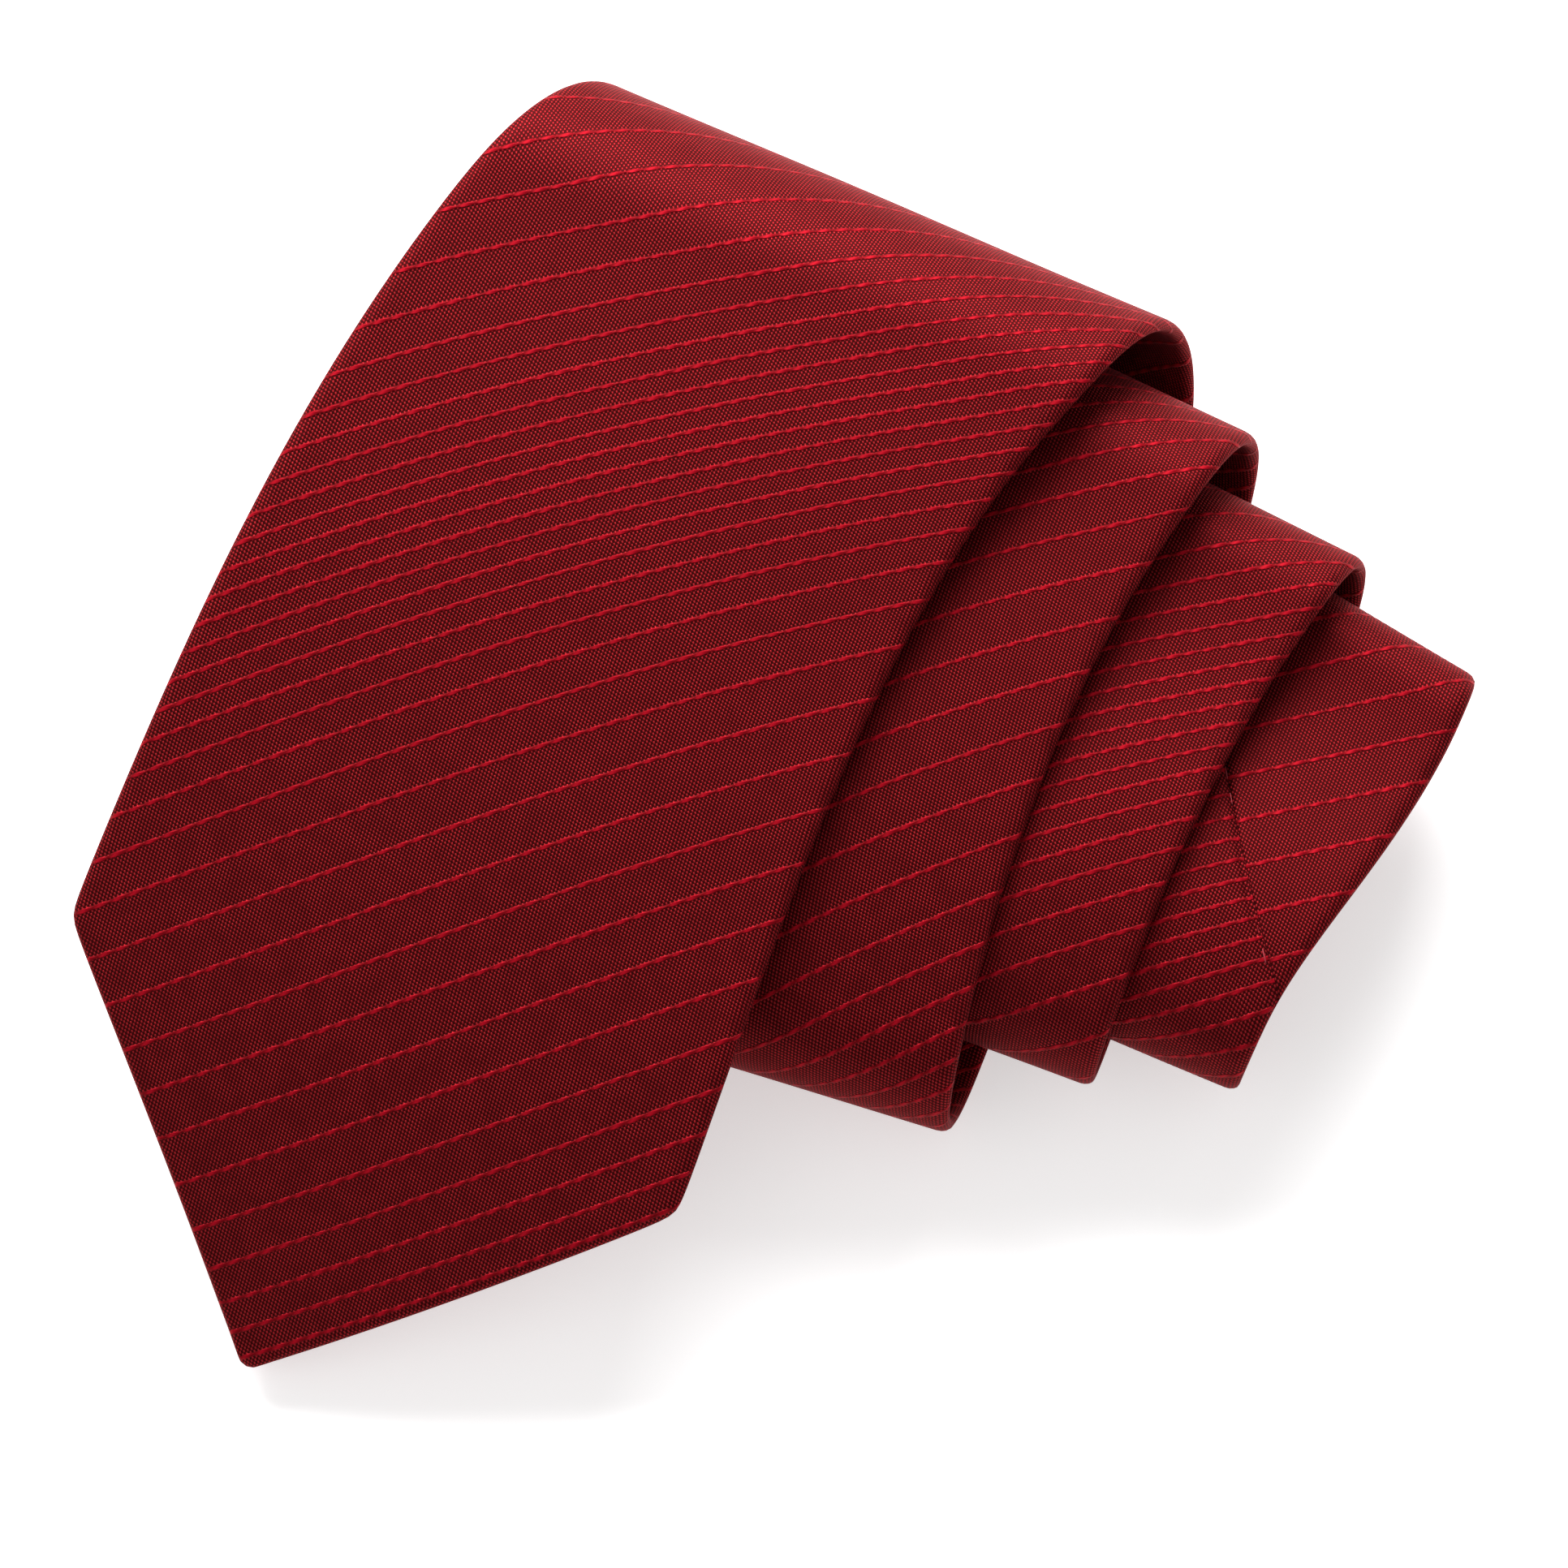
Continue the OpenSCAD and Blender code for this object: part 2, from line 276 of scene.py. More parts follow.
def make_object(name, points, faces, strip=None):
    """A smooth mesh object. strip is where each point lies on the flat cloth, in millimetres."""
    mesh = bpy.data.meshes.new(name)
    points = points.reshape(-1, 3)
    if enclosed(points, faces) < 0:
        faces = faces[:, ::-1]
    mesh.from_pydata(points.tolist(), [], faces.tolist())
    mesh.polygons.foreach_set("use_smooth", np.ones(len(faces), bool))
    if strip is not None:
        values = np.zeros((len(points), 3), np.float32)
        values[:, :2] = strip.reshape(-1, 2)
        mesh.attributes.new("strip", "FLOAT_VECTOR", "POINT").data.foreach_set("vector", values.ravel())
    mesh.update()
    piece = bpy.data.objects.new(name, mesh)
    scene.collection.objects.link(piece)
    return piece


def enclosed(points, faces):
    """The volume inside the faces, negative where they are inside out."""
    a, b, c, d = [points[faces[:, k]] for k in range(4)]
    return ((a * np.cross(b, c)).sum() + (a * np.cross(c, d)).sum()) / 6


def loop_faces(rows, size):
    """Faces of a closed skin through rows of points: half of each row goes one way, the rest comes back."""
    i, j = np.meshgrid(np.arange(rows - 1), np.arange(size), indexing="ij")
    a, b = (i * size + j).ravel(), (i * size + (j + 1) % size).ravel()
    sides = np.stack([a, a + size, b + size, b], 1)
    k = np.arange(size // 2 - 1)
    cap = np.stack([k, k + 1, size - 2 - k, size - 1 - k], 1)
    return np.vstack([sides, cap, (cap + (rows - 1) * size)[:, ::-1]])


def section(s, front, edge, back, inset):
    """Across the outer cloth from the slit, round the front and back to the slit: t, n and c at each place.

    front, edge and back are how many places lie on each part. s is one column, or one for each place.
    inset is 0 on the outside of the cloth."""
    h, b = half_width(s), half_thick(s)
    a = np.minimum(ROLL, 0.4 * h)
    turn = math.pi * np.sqrt((a**2 + b**2) / 2)
    flat = h - a
    g = np.minimum(opening(s), flat - 0.05)
    inset_h, inset_b = np.minimum(inset, 0.25 * h), np.minimum(inset, 0.45 * b)
    inner_b, inner_a = b - inset_b, np.maximum(a - inset_h, 0.3 * a)
    counts = [back, edge, front, edge, back]
    part, side = np.repeat([0, 1, 2, 1, 0], counts), np.repeat([1, 1, 0, -1, -1], counts)
    up = np.linspace(0, 1, back, endpoint=False)
    over = np.radians(np.linspace(-90, 90, edge))
    across = np.linspace(1, -1, front + 2)[1:-1]
    u = np.concatenate([up, over, across, over[::-1], up[::-1]])
    t_back, t_edge = g + (flat - g) * u, h - inset_h - inner_a + inner_a * np.cos(u)
    c_back, c_edge = flat + turn + (1 - u) * (flat - g), flat + turn * (0.5 - u / math.pi)
    t = np.choose(part, [side * t_back, side * t_edge, flat * u])
    n = np.choose(part, [-inner_b, inner_b * np.sin(u), inner_b])
    c = np.choose(part, [side * c_back, side * c_edge, flat * u])
    return t, n, c


def crease(s, c):
    """How far the cloth dips into a join at (s, c)."""
    return sum(CREASE * np.exp(-np.abs(s + c - join) / CREASE_REACH) for join in (JOIN_1, JOIN_2))


def cloth(name, stations, shear, front, edge=9, back=16):
    """The outer cloth over those stations, wrapped to the back, with its thickness. shear slants its rows."""
    s0 = np.asarray(stations, float)[:, None]
    shear = np.broadcast_to(shear, s0.shape[:1])[:, None]
    t, n, c = section(s0, front, edge, back, 0)
    s = s0 - shear * (c + t * along(s0[:, 0], LEAN))
    half = []
    for inset in (0, CLOTH_T):
        t, n, c = section(s, front, edge, back, inset)
        flat_s = s + t * along(s, LEAN)[..., 0]
        lift = np.sign(n) * (ripple(s, c) * (inset == 0) - crease(flat_s, c))
        half.append((place(s, t, n + lift), *flattened(s, c)))
    points = np.hstack([half[0][0], half[1][0][:, ::-1]])
    strip = np.stack([np.hstack([half[0][k], half[1][k][:, ::-1]]) for k in (1, 2)], -1)
    piece = make_object(name, points, loop_faces(len(s0), points.shape[1]), strip)
    note_cut(piece, 2 * np.abs(c[:, 0]), s0[:, 0])
    return piece


def note_cut(piece, wide, s):
    """Keeps the piece's cut width, length and area, in metres."""
    piece["cut"] = [float(wide.max()) * MM, float(np.ptp(s)) * MM, float(np.trapz(wide, s)) * MM**2]


def band(name, stations, reach, n0, n1, across):
    """A flat strip of the tie out to reach(s) on both sides and from n0 to n1, with soft edges."""
    s = np.asarray(stations, float)[:, None]
    u = np.linspace(-1, 1, across)[None]
    t = reach(s) * u
    soft = np.sqrt(np.clip(1 - u**16, 0.02, 1))
    middle, half = (n0 + n1) / 2, (n1 - n0) / 2
    outer, inner = place(s, t, middle + half * soft), place(s, t, middle - half * soft)
    points = np.hstack([outer, inner[:, ::-1]])
    strip = np.stack([np.hstack([x, x[:, ::-1]]) for x in np.broadcast_arrays(s, t)], -1)
    piece = make_object(name, points, loop_faces(len(s), points.shape[1]), strip)
    note_cut(piece, 2 * reach(s)[:, 0], s[:, 0])
    return piece


def threads(name, paths, radius, sides=6):
    """Short pieces of thread. Each path is an array of (s, t, n), and its ends taper."""
    points, faces, count = [], [], 0
    for path in paths:
        line = place(path[:, 0], path[:, 1], path[:, 2]) / MM
        travel = unit(np.gradient(line, axis=0))
        side = unit(np.cross(travel, along(path[:, 0], NORMAL)))
        up = np.cross(side, travel)
        taper = np.sqrt(np.clip(1 - np.abs(np.linspace(-1, 1, len(line))) ** 6, 0.12, 1))[:, None, None]
        a = np.linspace(0, 2 * math.pi, sides, endpoint=False)[None, :, None]
        ring = line[:, None] + radius * taper * (np.cos(a) * side[:, None] + np.sin(a) * up[:, None])
        points.append(ring.reshape(-1, 3))
        faces.append(loop_faces(len(line), sides) + count)
        count += len(line) * sides
    return make_object(name, np.vstack(points) * MM, np.vstack(faces))


def stitch(s0, t0, s1, t1, n, rise, steps=6):
    """One stitch from (s0, t0) to (s1, t1): it comes out of the cloth, lies on it and goes back in."""
    u = np.linspace(0, 1, steps)
    return np.stack([s0 + (s1 - s0) * u, t0 + (t1 - t0) * u, n - rise * np.sin(math.pi * u) ** 0.5], 1)


# ---- materials ----


class Nodes:
    """A short way to build a material's nodes."""

    def __init__(self, name):
        self.material = bpy.data.materials.new(name)
        self.material.use_nodes = True
        self.tree = self.material.node_tree
        self.shader = self.tree.nodes["Principled BSDF"]

    def math(self, operation, *values):
        """The result of a math node. Each value is a number or another node's output."""
        node = self.tree.nodes.new("ShaderNodeMath")
        node.operation = operation
        for socket, value in zip(node.inputs, values):
            self.feed(socket, value)
        return node.outputs[0]

    def feed(self, socket, value):
        """Sets an input to a number or a colour, or links another node's output to it."""
        if isinstance(value, (int, float, tuple)):
            socket.default_value = value
        else:
            self.tree.links.new(value, socket)

    def step(self, value, low, high):
        """0 below low, 1 above high, and smooth between them."""
        node = self.tree.nodes.new("ShaderNodeMapRange")
        node.interpolation_type = "SMOOTHSTEP"
        for socket, v in zip(node.inputs, (value, low, high, 0.0, 1.0)):
            self.feed(socket, v)
        return node.outputs[0]

    def mix(self, share, a, b):
        """Colour a where share is 0, b where it is 1."""
        node = self.tree.nodes.new("ShaderNodeMix")
        node.data_type = "RGBA"
        for socket, value in ((node.inputs[0], share), (node.inputs[6], a), (node.inputs[7], b)):
            self.feed(socket, value)
        return node.outputs[2]

    def strip(self):
        """Where the place lies along and across the flat cloth, in millimetres."""
        attribute = self.tree.nodes.new("ShaderNodeAttribute")
        attribute.attribute_name = "strip"
        split = self.tree.nodes.new("ShaderNodeSeparateXYZ")
        self.tree.links.new(attribute.outputs["Vector"], split.inputs[0])
        return split.outputs[0], split.outputs[1]

    def noise(self, scale, detail):
        """Cloudy noise fixed to the object, 0 to 1."""
        node = self.tree.nodes.new("ShaderNodeTexNoise")
        node.inputs["Scale"].default_value = scale
        node.inputs["Detail"].default_value = detail
        where = self.tree.nodes.new("ShaderNodeTexCoord").outputs["Object"]
        self.tree.links.new(where, node.inputs["Vector"])
        return node.outputs["Fac"]

    def wave(self, value, period):
        """Between -1 and 1, once in every period."""
        return self.math("COSINE", self.math("MULTIPLY", value, 2 * math.pi / period))

    def bump(self, height, depth):
        """Relief of height 0 to 1 over depth metres."""
        node = self.tree.nodes.new("ShaderNodeBump")
        node.inputs["Distance"].default_value = depth
        node.inputs["Strength"].default_value = 1
        self.tree.links.new(height, node.inputs["Height"])
        self.tree.links.new(node.outputs[0], self.shader.inputs["Normal"])

    def finish(self, **values):
        """Sets the shader's inputs, named with _ for a space, and returns the material."""
        for name, value in values.items():
            self.feed(self.shader.inputs[name.replace("_", " ")], value)
        return self.material


def diagonals(nodes):
    """Coordinates along and across the stripes, which lie at 45 degrees to the tie."""
    s, c = nodes.strip()
    half = math.sqrt(0.5)
    p = nodes.math("MULTIPLY", nodes.math("ADD", s, c), half)
    q = nodes.math("MULTIPLY", nodes.math("SUBTRACT", s, c), half)
    return p, q


# The stripes crowd together once in every repeat of the design.
STRIPES_PER_MM = 0.255
FIRST_STRIPE = 3.28
REPEAT = 98.0
CROWD_AT = 87.0
CROWDS = (1.85, 0.33)  # how far the stripes are drawn together, in stripes, once and twice in a repeat
STRIPE_HALF = 0.22
CORD_TURN = 2.2  # length of one turn of the stripe's twisted cord
DOT_P, DOT_Q = 0.5, 0.68  # spacing of the woven dots along and across the stripes
GROUND_DARK, GROUND_LIGHT = (0.034, 0.0017, 0.0023, 1), (0.34, 0.0150, 0.0195, 1)
CORD_DARK, CORD_LIGHT = (0.15, 0.0013, 0.0042, 1), (0.32, 0.0028, 0.0105, 1)


def stripes(nodes, p, q):
    """1 on a stripe and 0 beside it, and the light and dark of its cord's turns, from -1 to 1."""
    turn = nodes.math("MULTIPLY", nodes.math("SUBTRACT", q, CROWD_AT), 2 * math.pi / REPEAT)
    count, density = nodes.math("MULTIPLY_ADD", q, STRIPES_PER_MM, FIRST_STRIPE), STRIPES_PER_MM
    for times, crowd in enumerate(CROWDS, 1):
        angle = nodes.math("MULTIPLY", turn, float(times))
        count = nodes.math("MULTIPLY_ADD", nodes.math("SINE", angle), crowd, count)
        rate = 2 * math.pi / REPEAT * times * crowd
        density = nodes.math("MULTIPLY_ADD", nodes.math("COSINE", angle), rate, density)
    off_middle = nodes.math("DIVIDE", nodes.math("SUBTRACT", nodes.math("FRACT", count), 0.5), density)
    phase = nodes.math("MULTIPLY", nodes.math("FLOOR", count), 1.7)
    sway = nodes.math("SINE", nodes.math("MULTIPLY_ADD", p, 2 * math.pi / CORD_TURN, phase))
    slant = nodes.math("MULTIPLY_ADD", off_middle, -5.0, phase)
    cord = nodes.math("COSINE", nodes.math("MULTIPLY_ADD", p, 2 * math.pi / CORD_TURN, slant))
    away = nodes.math("ABSOLUTE", nodes.math("MULTIPLY_ADD", sway, 0.07, off_middle))
    uneven = nodes.math("MULTIPLY_ADD", nodes.noise(260.0, 2.0), 0.24, STRIPE_HALF - 0.12)
    reach = nodes.math("MULTIPLY_ADD", cord, 0.09, uneven)
    return nodes.math("SUBTRACT", 1.0, nodes.step(nodes.math("SUBTRACT", away, reach), -0.09, 0.09)), cord


def jacquard(name, shift):
    """Bright red raised stripes on a dark red ground of small woven dots. shift moves the design across."""
    nodes = Nodes(name)
    p, q = diagonals(nodes)
    q = nodes.math("ADD", q, shift)
    stripe, cord = stripes(nodes, p, q)
    dots = nodes.step(nodes.math("MULTIPLY", nodes.wave(p, DOT_P), nodes.wave(q, DOT_Q)), -0.2, 0.8)
    patchy = nodes.step(nodes.noise(420.0, 2.0), 0.25, 0.75)
    dots = nodes.math("MULTIPLY", dots, nodes.math("MULTIPLY_ADD", patchy, 0.3, 0.72))
    ground = nodes.mix(dots, GROUND_DARK, GROUND_LIGHT)
    thread = nodes.mix(nodes.math("MULTIPLY_ADD", cord, 0.5, 0.5), CORD_DARK, CORD_LIGHT)
    beside = nodes.math("SUBTRACT", 1.0, stripe)
    weave = nodes.math("MULTIPLY", dots, nodes.math("MULTIPLY", beside, 0.35))
    raised = nodes.math("MULTIPLY", stripe, nodes.math("MULTIPLY_ADD", cord, 0.2, 0.8))
    nodes.bump(nodes.math("ADD", weave, raised), 0.00016)
    return nodes.finish(
        Base_Color=nodes.mix(stripe, ground, thread), Metallic=nodes.math("MULTIPLY_ADD", beside, 0.25, 0.35),
        Roughness=0.5, Sheen_Weight=0.05, Sheen_Roughness=0.4, Sheen_Tint=(1.0, 0.25, 0.3, 1),
        Specular_IOR_Level=0.1, Specular_Tint=(1.0, 0.33, 0.34, 1),
    )


def twill(name, dark, light, pitch, sheen):
    """Plain cloth with a fine diagonal rib."""
    nodes = Nodes(name)
    s, c = nodes.strip()
    rib = nodes.wave(nodes.math("MULTIPLY_ADD", c, 2.0, s), pitch)
    yarn = nodes.wave(nodes.math("SUBTRACT", s, c), pitch * 0.8)
    weave = nodes.math("MULTIPLY_ADD", nodes.math("MULTIPLY_ADD", yarn, 0.4, rib), 0.3, 0.5)
    colour = nodes.mix(weave, dark, light)
    nodes.bump(weave, 0.00008)
    return nodes.finish(Base_Color=colour, Roughness=0.5, Sheen_Weight=sheen, Sheen_Roughness=0.4)


def brushed(name):
    """Soft brushed wool, cream, with loose fibres."""
    nodes = Nodes(name)
    s, c = nodes.strip()
    fibre = nodes.noise(900.0, 6.0)
    weave = nodes.math("MULTIPLY", nodes.wave(s, 1.1), nodes.wave(c, 1.1))
    height = nodes.math("MULTIPLY_ADD", weave, 0.3, fibre)
    colour = nodes.mix(fibre, (0.56, 0.52, 0.44, 1), (0.86, 0.83, 0.76, 1))
    nodes.bump(height, 0.0002)
    return nodes.finish(Base_Color=colour, Roughness=0.9, Sheen_Weight=0.5, Sheen_Roughness=0.6)


def yarn(name, dark, light):
    """Twisted sewing thread."""
    nodes = Nodes(name)
    strand = nodes.noise(2600.0, 3.0)
    colour = nodes.mix(strand, dark, light)
    nodes.bump(strand, 0.00005)
    return nodes.finish(Base_Color=colour, Roughness=0.45, Sheen_Weight=0.2, Sheen_Roughness=0.4)


def satin(name, dark, light):
    """Woven satin ribbon for a label, blank, with a fine rib along it."""
    nodes = Nodes(name)
    s, c = nodes.strip()
    rib = nodes.wave(c, 0.3)
    pick = nodes.wave(s, 0.45)
    weave = nodes.math("MULTIPLY_ADD", nodes.math("MULTIPLY", rib, pick), 0.35, 0.5)
    colour = nodes.mix(weave, dark, light)
    nodes.bump(weave, 0.00005)
    return nodes.finish(Base_Color=colour, Roughness=0.32, Sheen_Weight=0.1, Sheen_Roughness=0.3)


BLADE_JACQUARD = jacquard("blade_jacquard", 0.0)
NECK_JACQUARD = jacquard("neck_jacquard", 37.0)
TAIL_JACQUARD = jacquard("tail_jacquard", 61.0)
LINING = twill("lining_twill", (0.09, 0.003, 0.006, 1), (0.24, 0.009, 0.017, 1), 0.7, 0.08)
WOOL = brushed("brushed_wool")
THREAD = yarn("red_thread", (0.22, 0.008, 0.015, 1), (0.5, 0.03, 0.05, 1))
BLACK_SATIN = satin("black_satin", (0.008, 0.007, 0.008, 1), (0.045, 0.04, 0.042, 1))
WHITE_SATIN = satin("white_satin", (0.6, 0.59, 0.56, 1), (0.85, 0.84, 0.81, 1))

# ---- the free blade's joint, and the direction from it towards the tip ----
lift = frame["joints"][0]
toward_tip = Vector(lift["axis"]).cross(Vector((0, 0, 1))).normalized()
if toward_tip.y > 0:
    toward_tip.negate()


def bend(piece):
    """Bakes the piece's placement into its mesh."""
    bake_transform(piece)


def dress(piece, material, slot_name, *nodes):
    """Gives a piece its material and hides the named CAD parts."""
    piece.data.materials.append(material)
    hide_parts(*nodes)


def declare(piece, held, *with_pieces):
    """Reads the piece's noted cut and bounds its area by its width times its length."""
    width, length, area = piece["cut"]
    area = min(area, width * length)


def steps(start, end, step, fine_start=0.0, fine_end=0.0):
    """Stations from start to end, closer together over the fine stretches at its ends."""
    first, last = np.arange(0, fine_start, FINE_STEP), np.arange(0, fine_end, FINE_STEP)
    body = np.linspace(start + fine_start, end - fine_end, max(2, round((end - start) / step)))
    return np.unique(np.concatenate([start + first, body, end - last]))


# ---- outer cloth ----
flap = cloth("blade_cloth_front", steps(TIP_S, SPLIT_S, 1.0, 3.0), 0.0, 61)
wrap_s = steps(SPLIT_S, JOIN_1, 1.0, 0.0, 3.0)
wrap = cloth("blade_cloth_wrap", wrap_s, smooth((wrap_s - JOIN_1 + SHEAR_OVER) / SHEAR_OVER), 47)
neck = cloth("neck_cloth", steps(JOIN_1, JOIN_2, 1.0, 3.0, 3.0), 1.0, 33, 7, 14)
tail_s = steps(JOIN_2, TIE_LEN - TIP_S, 1.0, 3.0, 3.0)
tail = cloth("tail_cloth", tail_s, 1 - smooth((tail_s - JOIN_2) / SHEAR_OVER), 29, 7, 13)
for piece, material, node in (
    (flap, BLADE_JACQUARD, "blade_flap"), (wrap, BLADE_JACQUARD, "blade_shell"),
    (neck, NECK_JACQUARD, "neck_shell"), (tail, TAIL_JACQUARD, "tail_shell"),
):
    dress(piece, material, "jacquard", node)

# ---- inside: wool interlining and the linings of the points ----


def wool_reach(s):
    """Half the width of the interlining, just inside the folded edges."""
    return np.maximum(0.4, half_width(s) - 1.3)


def lining_reach(s):
    """Half the width of the linings, which reach a little under the hems."""
    return np.maximum(0.4, np.minimum(half_width(s) - 1.5, opening(s) + 4))


WOOL_N = (-INSIDE_N + 0.35, INSIDE_N - 0.1)
LINING_N = (-INSIDE_N + 0.05, -INSIDE_N + 0.2)
END_GAP = 4  # how far the inner layers stay from the points
flap_wool = band("interlining_front", steps(END_GAP, SPLIT_S, 2.0), wool_reach, *WOOL_N, 25)
roll_wool = band("interlining_wrap", steps(SPLIT_S, TIE_LEN - END_GAP, 1.6), wool_reach, *WOOL_N, 21)
blade_lining = band("blade_lining", steps(END_GAP, BLADE_TACK, 1.5), lining_reach, *LINING_N, 25)
tail_lined = steps(TIE_LEN - TAIL_TACK, TIE_LEN - END_GAP, 1.5)
tail_lining = band("tail_lining", tail_lined, lining_reach, *LINING_N, 17)
for piece, material, slot_name, node, held in (
    (flap_wool, WOOL, "wool", "flap_interlining", "folded"),
    (roll_wool, WOOL, "wool", "interlining", "folded"),
    (blade_lining, LINING, "lining", "blade_tipping", "laid"),
    (tail_lining, LINING, "lining", "tail_tipping", "laid"),
):
    dress(piece, material, slot_name, node)
    declare(piece, held)

# ---- stitching ----
BACK = -HALF_T


def hem_paths(end, direction, width):
    """Slanting stitches that catch the lining to the hem along both edges of a point."""
    rng = np.random.default_rng(7)
    return [
        stitch(
            end + direction * (s + 0.5), side * (s - HEM - 0.9),
            end + direction * (s - 0.5), side * (s - HEM + 0.7), BACK + 0.25, 0.35,
        )
        for side in (-1, 1)
        for s in np.arange(HEM + 4, width / 2 - 1, 2.2) + rng.uniform(-0.2, 0.2)
    ]


def slip_paths(start, end):
    """Small stitches across the slit, where the two back edges are drawn together."""
    rng = np.random.default_rng(11)
    return [
        stitch(s, -0.75, s + 1.3 + rng.uniform(-0.3, 0.3), 0.75, BACK + 0.06, 0.14)
        for s in np.arange(start, end, 5.5) + rng.uniform(-0.6, 0.6)
    ]


def tack_paths(s, width):
    """A bar tack: thread wound back and forth across the back edges, then bound round."""
    half = width / 2
    over = [stitch(s - 0.7 + 0.2 * k, -half, s - 0.7 + 0.2 * k, half, BACK, 0.16, 8) for k in range(8)]
    places = np.arange(-half + 0.8, half - 0.5, 0.9)
    return over + [stitch(s - 0.9, t, s + 0.9, t, BACK - 0.04, 0.16) for t in places]


for name, node, paths, radius, on_flap in (
    ("blade_hem_stitches", "blade_hem_stitch", hem_paths(0, 1, BLADE_W), 0.13, True),
    ("tail_hem_stitches", "tail_hem_stitch", hem_paths(TIE_LEN, -1, NECK_W), 0.13, False),
    ("front_slip_stitches", "flap_slip_stitch", slip_paths(BLADE_TACK + 4, SPLIT_S - 3), 0.12, True),
    ("slip_stitches", "slip_stitch", slip_paths(SPLIT_S + 2, TIE_LEN - TAIL_TACK - 3), 0.12, False),
    ("blade_tack_thread", "blade_bar_tack", tack_paths(BLADE_TACK, 6), 0.13, True),
    ("tail_tack_thread", "tail_bar_tack", tack_paths(TIE_LEN - TAIL_TACK, 5), 0.1, False),
):
    piece = threads(name, paths, radius)
    dress(piece, THREAD, "thread", node)
    if on_flap:
        bend(piece)
    else:
        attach(piece, "roll")


def join_paths(join):
    """The stitches down in a join, along its slant across the front."""
    reach = half_width(join) - 1.2
    slant = 1 + along(join, LEAN)[0]
    places = np.arange(-reach, reach - 1.6, 2.4)
    down, sunk = HALF_T - 0.5, -0.1
    return [stitch(join - t * slant, t, join - (t + 1.6) * slant, t + 1.6, down, sunk) for t in places]


for name, node, join in (
    ("blade_neck_join", "blade_neck_seam", JOIN_1), ("neck_tail_join", "neck_tail_seam", JOIN_2)
):
    piece = threads(name, join_paths(join), 0.1)
    dress(piece, THREAD, "thread", node)
    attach(piece, "roll")

# ---- keeper loop and labels, on the back ----
KEEPER_LEN, KEEPER_W = 46, 9
BLACK_W, BLACK_S = 42, (KEEPER_S + 15, KEEPER_S + 33)
WHITE_W, WHITE_S = 20, (KEEPER_S - 21, KEEPER_S - 7)


def patch(name, width, ends, step, n0, n1, across):
    """A rectangle of that width on the back of the tie, n0 to n1 behind it, between two places along it."""
    return band(name, steps(*ends, step), lambda s: width / 2 + 0 * s, BACK - n0, BACK - n1, across)


keeper = patch("keeper", KEEPER_LEN, (KEEPER_S - KEEPER_W / 2, KEEPER_S + KEEPER_W / 2), 0.6, 0.33, 0.05, 61)
dress(keeper, BLADE_JACQUARD, "jacquard", "keeper_loop")
black = patch("black_label", BLACK_W, BLACK_S, 0.7, 0.2, 0.04, 41)
dress(black, BLACK_SATIN, "label_black", "maker_label")
white = patch("white_label", WHITE_W, WHITE_S, 0.7, 0.16, 0.04, 27)
dress(white, WHITE_SATIN, "label_white", "care_label")
for piece in (black, white):
    declare(piece, "laid")

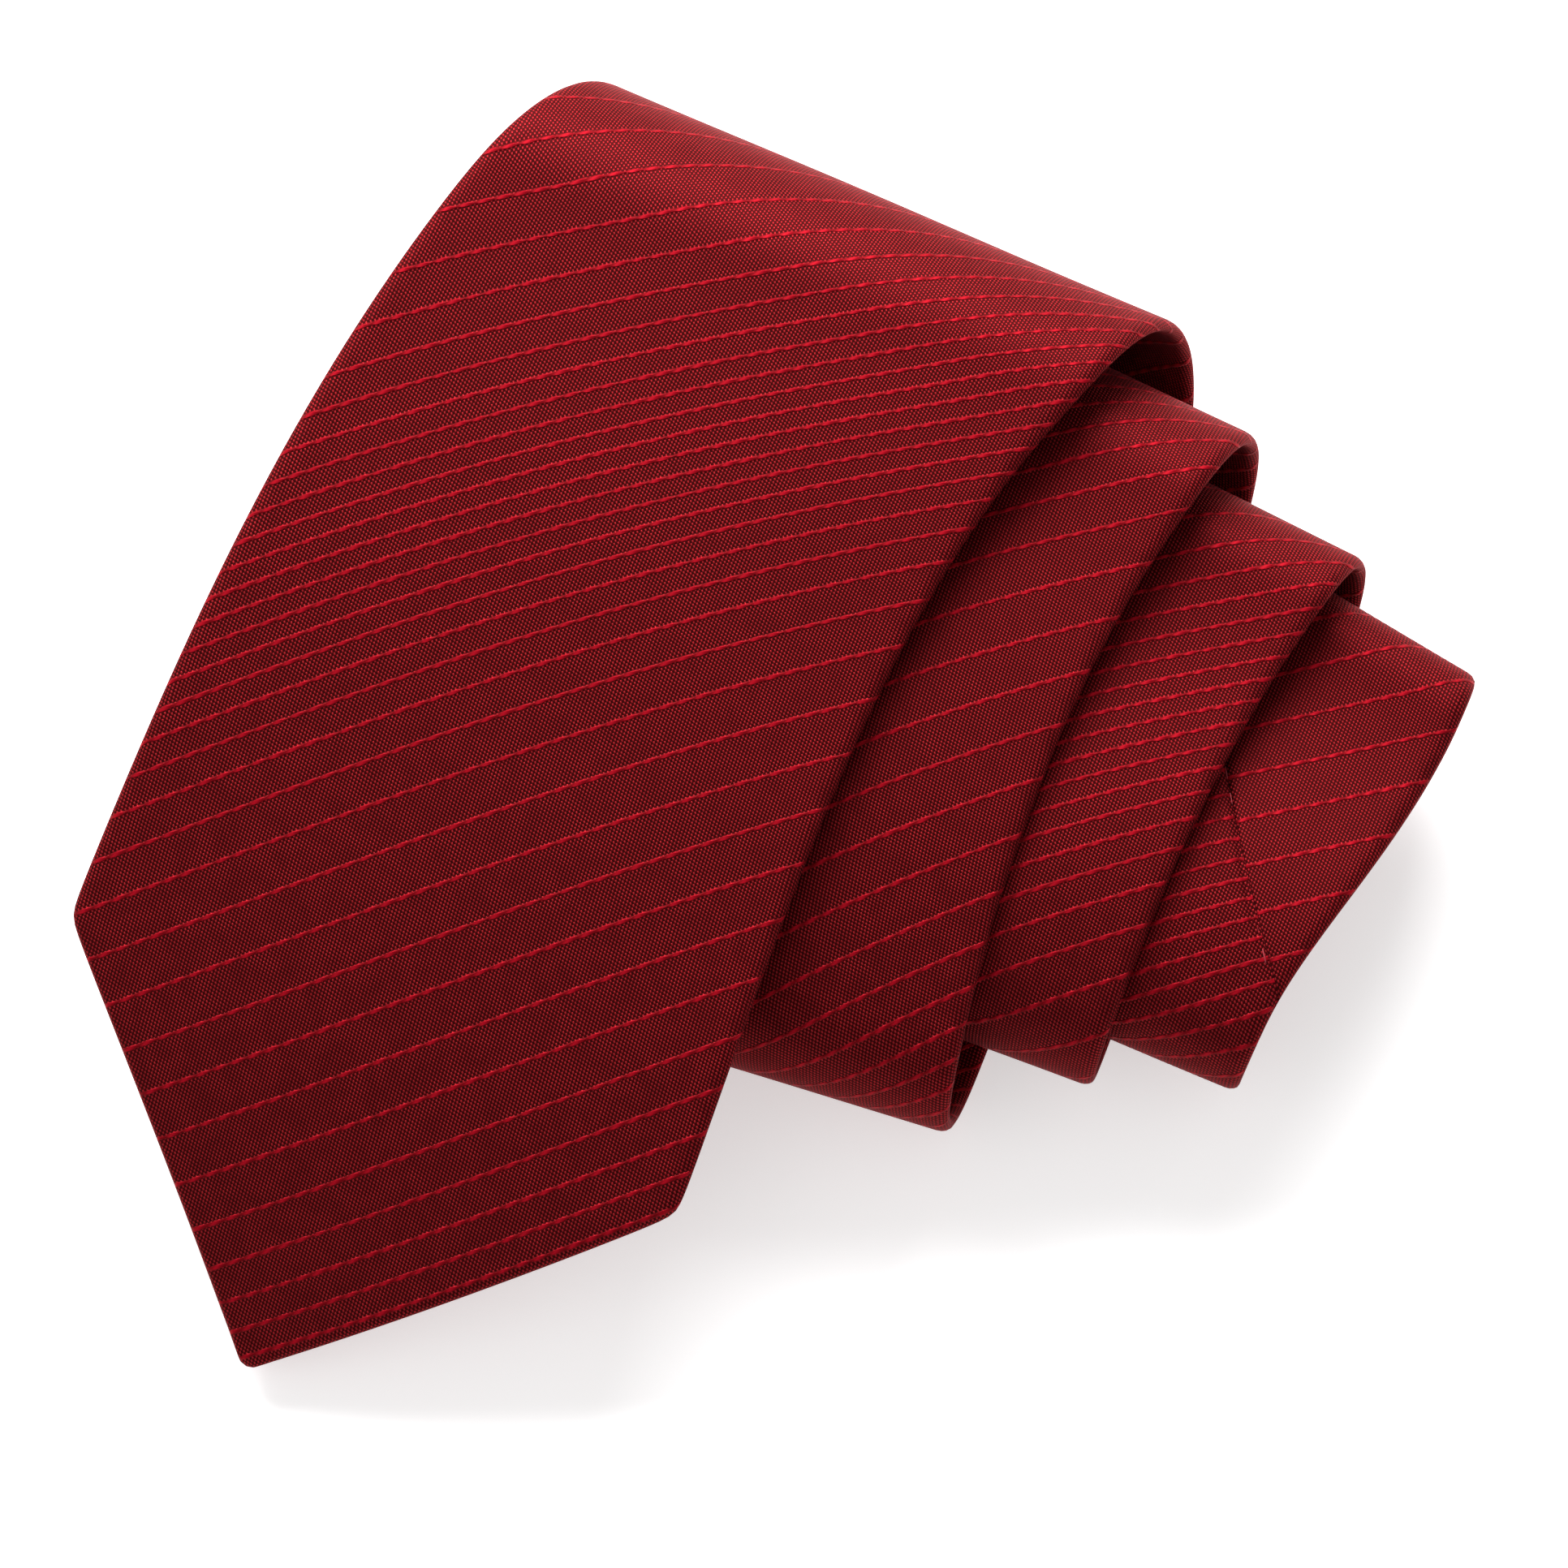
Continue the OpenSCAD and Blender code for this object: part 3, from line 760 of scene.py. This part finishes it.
keeper_ends = [
    stitch(s, side * (KEEPER_LEN / 2 - 2), s + 0.8, side * (KEEPER_LEN / 2 - 2.3), BACK - 0.3, 0.1)
    for side in (-1, 1) for s in np.arange(KEEPER_S - 3.6, KEEPER_S + 3.2, 1.2)
]
label_edges = [
    stitch(s, side * (BLACK_W / 2 - 1.5), s + 1.6, side * (BLACK_W / 2 - 1.5), BACK - 0.18, 0.1)
    for side in (-1, 1) for s in np.arange(BLACK_S[0] + 1, BLACK_S[1] - 2, 2.4)
]
for name, node, paths in (
    ("keeper_thread", "keeper_stitches", keeper_ends), ("label_thread", "label_stitches", label_edges)
):
    piece = threads(name, paths, 0.11)
    dress(piece, THREAD, "thread", node)
    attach(piece, "roll")
for piece in (flap, neck, tail):
    declare(piece, "folded")
declare(wrap, "folded", keeper)

for piece in (flap, flap_wool, blade_lining):
    bend(piece)
for piece in (wrap, neck, tail, roll_wool, tail_lining, keeper, black, white):
    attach(piece, "roll")

# ---- studio ----
FLOOR_SIZE = 6.0
FLOOR_Z = -0.0003
WORLD_LIGHT = 0.36


def make_floor():
    """A pale floor just under the tie, lit from within a little so that shadows on it stay light."""
    r = FLOOR_SIZE / 2
    mesh = bpy.data.meshes.new("floor")
    mesh.from_pydata([(-r, -r, 0), (r, -r, 0), (r, r, 0), (-r, r, 0)], [], [(0, 1, 2, 3)])
    mesh.materials.append(Nodes("pale_floor").finish(
        Base_Color=(0.93, 0.925, 0.925, 1), Roughness=0.9, Specular_IOR_Level=0.1,
        Emission_Color=(1, 0.985, 0.985, 1), Emission_Strength=0.5,
    ))
    floor = bpy.data.objects.new("floor", mesh)
    floor.location.z = FLOOR_Z
    scene.collection.objects.link(floor)


def area_light(name, place_at, look_at, size, power):
    """A softbox of that size that looks at a point."""
    data = bpy.data.lights.new(name, "AREA")
    data.shape = "RECTANGLE"
    data.size, data.size_y = size
    data.energy = power
    light = bpy.data.objects.new(name, data)
    light.location = place_at
    light.rotation_mode = "QUATERNION"
    light.rotation_quaternion = (Vector(look_at) - Vector(place_at)).to_track_quat("-Z", "Y")
    scene.collection.objects.link(light)


make_floor()
area_light("back_softbox", (-0.5, 0.65, 0.6), (0, 0.02, 0.02), (1.1, 0.5), 24)
area_light("side_softbox", (0.85, -0.25, 0.35), (0, 0, 0.02), (0.5, 0.5), 0.8)
area_light("front_fill", (-0.5, -0.7, 0.9), (0, 0, 0), (1.0, 1.0), 1.5)

world = bpy.data.worlds.new("studio")
world.use_nodes = True
background = world.node_tree.nodes["Background"]
background.inputs["Color"].default_value = (1, 1, 1, 1)
background.inputs["Strength"].default_value = WORLD_LIGHT
scene.world = world
scene.view_settings.view_transform = "Standard"
